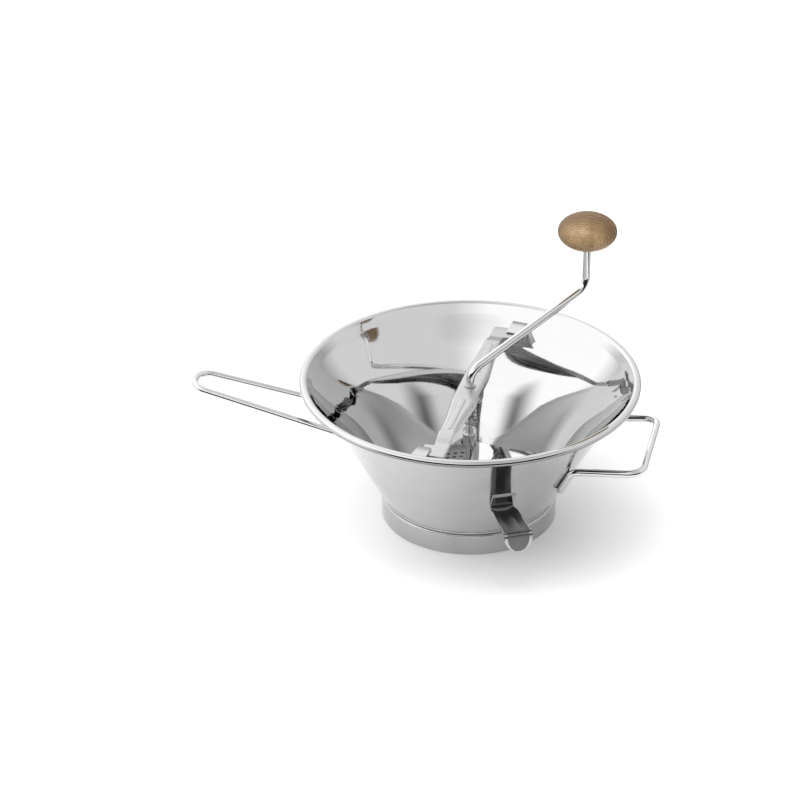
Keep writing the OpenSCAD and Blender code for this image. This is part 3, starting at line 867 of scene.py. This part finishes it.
def knob():
    """An oval of revolution, cut flat below, with a blind bore for its metal sleeve."""
    flat_r, bore, bore_h, steps = 6.2, 4.52, 16.5, 64
    flange_r, flange_t, sleeve_r, sleeve_top = 6, 0.8, 4.5, KNOB_Z - 2
    start = acos(flat_r / (KNOB_D / 2))
    bottom = KNOB_Z - KNOB_H / 2 * sin(start)
    bore_top = KNOB_Z - KNOB_H / 2 + bore_h
    outline = [(0, KNOB_Z + KNOB_H / 2)]
    for i in range(1, steps + 1):
        q = pi / 2 - i * (pi / 2 + start) / steps
        outline.append((KNOB_D / 2 * cos(q), KNOB_Z + KNOB_H / 2 * sin(q)))
    outline += [(bore + 0.3, bottom), (bore, bottom + 0.3), (bore, bore_top), (0, bore_top)]
    axis = turned((CRANK_REACH, 0, 0), CRANK_DIR)
    verts, faces, _ = lathe(outline, 128, axis)
    piece("knob_turned", verts, faces, "knob", [knob_wood], soft=40)
    ring_piece("knob_sleeve", "knob_ferrule",
               [(RUN_R, bottom - flange_t), (flange_r, bottom - flange_t), (flange_r, bottom - 0.02),
                (sleeve_r, bottom - 0.02), (sleeve_r, sleeve_top), (RUN_R, sleeve_top)], 0.2, stamped, axis)
    low = sleeve_top + 0.3
    ring("knob_keeper", "knob_ring", FIT_R, 4.3, low, low + 1, spring_steel, axis)


bowl()
base_band()
wire_handle("long_handle_wire", "long_handle", turn=180, rise=0.2, root_z=63.7, half_root=20.3, foot_h=8,
            outer=[(208, -12.3), (208, 12.3)], bend=12)
wire_handle("helper_handle_wire", "helper_handle", turn=0, rise=0.09, root_z=65.7, half_root=41, foot_h=20,
            outer=[(134.5, -42.3), (134.5, 42.3)], bend=11)
pot_hook()
lock_lugs()
cross_bar()
bar_ribs()
shaft_bush()
ring("washer_ring", "thrust_washer", RUN_R, 5.5, WASHER_Z, WASHER_Z + 1.2, spring_steel)
for name, node, low in (("upper_collar_ring", "upper_collar", UPPER_COLLAR_Z),
                        ("lower_collar_ring", "lower_collar", LOWER_COLLAR_Z)):
    ring(name, node, FIT_R, COLLAR_R, low, low + COLLAR_H, stamped, bend=0.5)
pins("collar_pin_pair", "collar_pins", (LOWER_COLLAR_Z + COLLAR_H / 2, UPPER_COLLAR_Z + COLLAR_H / 2), 10)
pins("thrust_pin_rod", "thrust_pin", (WASHER_Z - 1.1,), 10.4)
disc_eyelet()
crank_rod()
pressing_blade()
knob()

# CAD nodes that stay get their finish
for node, finish in (("strainer_disc", disc_steel), ("blade_spring", spring_steel)):
    kept = frame["nodes"][node]
    kept.data.materials.clear()
    kept.data.materials.append(finish)

# ---- floor, light and camera ----


def floor():
    """A white floor. Its far part isn't seen in reflections, where the studio is dark near the horizon."""
    near, far, n = 0.36, 5.0, 96                 # radii in metres
    m = Nodes("floor_white")
    tone = m.noise(m.stretch((2, 2, 2)), detail=2)
    white = m.finish(m.mix(tone, (0.88, 0.88, 0.88), (0.90, 0.90, 0.90)), m.spread(tone, 0, 1, 0.55, 0.65),
                     m.bump(tone, 0.00001))
    circle = [(cos(2 * pi * k / n), sin(2 * pi * k / n)) for k in range(n)]
    inner = [(near * x, near * y, 0) for x, y in circle]
    outer = [(far * x, far * y, 0) for x, y in circle]
    for name, verts, faces in (
            ("floor", inner, [tuple(range(n))]),
            ("floor_far", inner + outer, [(k, n + k, n + (k + 1) % n, (k + 1) % n) for k in range(n)])):
        mesh = bpy.data.meshes.new(name)
        mesh.from_pydata(verts, [], faces)
        mesh.materials.append(white)
        obj = bpy.data.objects.new(name, mesh)
        bpy.context.scene.collection.objects.link(obj)
        obj.visible_glossy = name == "floor"


def area(name, place, size, power, aim=(0, 0, 0.08)):
    """A soft round light that metal doesn't reflect."""
    light = bpy.data.lights.new(name, "AREA")
    light.shape = "DISK"
    light.size = size
    light.energy = power
    obj = bpy.data.objects.new(name, light)
    obj.location = place
    obj.rotation_euler = (Vector(aim) - Vector(place)).to_track_quat("-Z", "Y").to_euler()
    obj.visible_glossy = False
    bpy.context.scene.collection.objects.link(obj)


def studio():
    """A white studio: the wall is bright, most of all on the left, and the ceiling is dimmer. In
    reflections a dark gap shows near the horizon, on the camera's side. The camera itself sees white."""
    world = bpy.data.worlds.new("studio")
    bpy.context.scene.world = world
    world.use_nodes = True
    tree = world.node_tree
    tree.nodes.clear()

    def add(kind, **values):
        node = tree.nodes.new(kind)
        for key, value in values.items():
            setattr(node, key, value)
        return node

    def facing(direction, low, high, to_low, to_high, kind="SMOOTHSTEP"):
        """Goes from to_low to to_high as the view turns towards direction."""
        dot = add("ShaderNodeVectorMath", operation="DOT_PRODUCT")
        dot.inputs[1].default_value = direction
        tree.links.new(place, dot.inputs[0])
        level = add("ShaderNodeMapRange", interpolation_type=kind)
        for key, number in zip(("From Min", "From Max", "To Min", "To Max"), (low, high, to_low, to_high)):
            level.inputs[key].default_value = number
        tree.links.new(dot.outputs["Value"], level.inputs["Value"])
        return level.outputs["Result"]

    def ramp(stops):
        node = add("ShaderNodeValToRGB")
        elements = node.color_ramp.elements
        while len(elements) < len(stops):
            elements.new(0.5)
        for element, (position, grey) in zip(elements, stops):
            element.position = position
            element.color = (grey, grey, grey, 1)
        tree.links.new(height, node.inputs["Fac"])
        return node.outputs["Color"]
    place = add("ShaderNodeTexCoord").outputs["Generated"]
    height = facing((0, 0, 1), -1, 1, 0, 1, "LINEAR")
    # positions are (sine of the elevation + 1) / 2
    front = ramp([(0.30, 0.02), (0.42, 0.02), (0.70, 0.02), (0.72, 1.0), (0.82, 1.0), (0.88, 0.38),
                  (1.0, 0.5)])
    around = ramp([(0.30, 0.7), (0.49, 0.6), (0.55, 0.55), (0.62, 1.0), (0.91, 1.0), (0.95, 0.7),
                   (1.0, 0.6)])
    mixed = add("ShaderNodeMix", data_type="RGBA")
    tree.links.new(facing((0.185, -0.983, 0), 0.25, 0.7, 0, 1), mixed.inputs["Factor"])
    tree.links.new(around, mixed.inputs[6])
    tree.links.new(front, mixed.inputs[7])
    studio_light = add("ShaderNodeBackground")
    plain = add("ShaderNodeBackground")
    seen = add("ShaderNodeMixShader")
    tree.links.new(mixed.outputs[2], studio_light.inputs["Color"])
    tree.links.new(facing((0.978, 0.208, 0), -0.25, 0.25, 1.6, 1.0), studio_light.inputs["Strength"])
    plain.inputs["Color"].default_value = (1, 1, 1, 1)
    tree.links.new(add("ShaderNodeLightPath").outputs["Is Camera Ray"], seen.inputs["Fac"])
    tree.links.new(studio_light.outputs["Background"], seen.inputs[1])
    tree.links.new(plain.outputs["Background"], seen.inputs[2])
    tree.links.new(seen.outputs["Shader"], add("ShaderNodeOutputWorld").inputs["Surface"])


floor()
studio()
area("key", (-1.9, -0.5, 2.1), size=1.8, power=22)
area("overhead", (0.0, 0.0, 2.8), size=2.6, power=40)
area("front_fill", (0.7, -2.2, 0.9), size=1.6, power=14)

camera = bpy.data.objects.new("camera", bpy.data.cameras.new("camera"))
camera.data.lens = 152.5
camera.data.sensor_width = 36
camera.location = (0.4012, -2.1338, 1.3009)
camera.rotation_euler = Vector((-0.1817, 0.8548, -0.4862)).to_track_quat("-Z", "Y").to_euler()
bpy.context.scene.collection.objects.link(camera)
bpy.context.scene.camera = camera
bpy.context.scene.view_settings.view_transform = "Standard"
